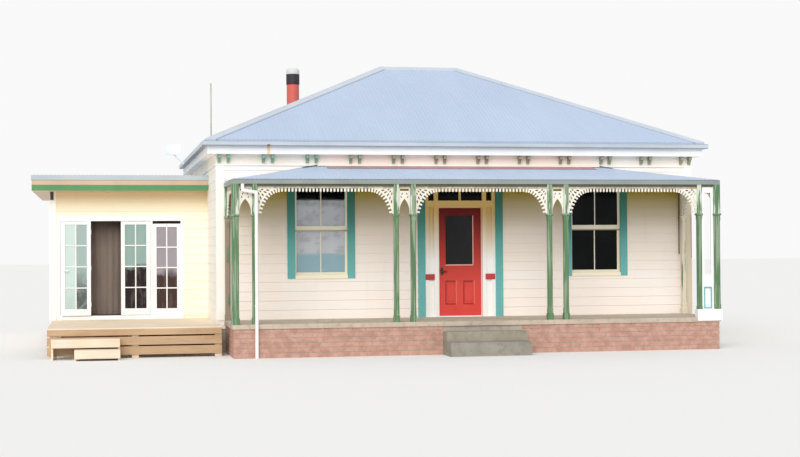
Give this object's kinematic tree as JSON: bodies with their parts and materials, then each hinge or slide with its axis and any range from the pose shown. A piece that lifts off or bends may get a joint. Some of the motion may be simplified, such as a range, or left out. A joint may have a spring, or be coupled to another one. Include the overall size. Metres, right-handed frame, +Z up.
{
  "type": "weatherboard cottage with verandah",
  "caption": "Single-storey weatherboard cottage with hipped corrugated roof, fretted front verandah and a flat-roofed side room opening on a deck.",
  "frame": {"origin": "on the ground, at the middle of the building's footprint box", "axes": "+X to the right along the front, +Y from front to back, +Z up"},
  "size_m": [12.726, 10.1, 5.6993],
  "materials": {
    "brick": "painted brick and concrete",
    "floor_boards": "worn boards",
    "cream_boards": "painted weatherboards",
    "white_trim": "painted timber",
    "green_trim": "worn painted timber",
    "teal_trim": "painted timber",
    "roof_iron": "weathered galvanised corrugated iron",
    "gutter_metal": "painted metal",
    "porch_floor": "painted concrete",
    "step_concrete": "worn concrete",
    "deck_timber": "weathered timber",
    "red_paint": "painted timber",
    "dark_glass": "clear glass over a dark room",
    "window_pane": "clear glass",
    "door_pane": "clear glass",
    "sash_paint": "painted timber",
    "flue_paint": "painted steel",
    "aerial_metal": "dull aluminium",
    "dish_metal": "painted metal",
    "pipe_paint": "painted pipe"
  },
  "bodies": {
    "house": {"main_base": "brick", "main_floor": "floor_boards", "front_wall_left": "cream_boards", "front_wall_right": "cream_boards", "front_wall_over_door": "cream_boards", "left_wall": "cream_boards", "right_wall": "cream_boards", "back_wall": "cream_boards", "corner_boards": "cream_boards", "frieze": "cream_boards", "eaves_brackets": "green_trim", "ceiling": "white_trim", "main_fascia": "white_trim", "main_gutter": "gutter_metal", "main_roof_front": "roof_iron", "main_roof_back": "roof_iron", "main_roof_ends": "roof_iron", "roof_capping": "roof_iron", "verandah_base": "brick", "verandah_floor": "porch_floor", "front_steps": "step_concrete", "verandah_posts": "green_trim", "verandah_beam": "white_trim", "verandah_roof": "roof_iron", "verandah_roof_ends": "roof_iron", "verandah_gutter": "gutter_metal", "front_fretwork": "white_trim", "pair_arches": "white_trim", "end_fretwork": "white_trim", "corner_screen": "white_trim", "doorway_frame": "sash_paint", "toplight_glass": "dark_glass", "sash_windows": "sash_paint", "window_glass": "window_pane", "facings": "teal_trim", "side_base": "brick", "side_floor": "floor_boards", "side_front_wall": "cream_boards", "side_front_over_door": "cream_boards", "side_left_wall": "cream_boards", "side_back_wall": "cream_boards", "side_roof": "roof_iron", "side_fascia": "cream_boards", "side_band": "green_trim", "side_lining": "cream_boards", "french_frame": "white_trim", "french_side_glass": "door_pane", "side_deck": "deck_timber", "deck_skirt": "deck_timber", "deck_steps": "deck_timber", "flue": "flue_paint", "aerial_mast": "aerial_metal", "satellite_dish": "dish_metal", "downpipes": "pipe_paint"},
    "front_door": {"front_door": "red_paint", "front_door_glass": "dark_glass"},
    "french_left_leaf": {"french_left_leaf": "white_trim", "french_left_glass": "door_pane"},
    "french_right_leaf": {"french_right_leaf": "white_trim", "french_right_glass": "door_pane"}
  },
  "joints": [
    {"name": "front_door_hinge", "type": "hinge", "parent": "house", "child": "front_door", "pos_m": [1.947, -2.6217, 1.58], "axis": [0, 0, 1], "range_deg": [-100, 0]},
    {"name": "french_left_hinge", "type": "hinge", "parent": "house", "child": "french_left_leaf", "pos_m": [-5.258, -0.3703, 1.48], "axis": [0, 0, 1], "range_deg": [0, 180]},
    {"name": "french_right_hinge", "type": "hinge", "parent": "house", "child": "french_right_leaf", "pos_m": [-4.122, -0.3703, 1.48], "axis": [0, 0, 1], "range_deg": [0, 180]}
  ]
}
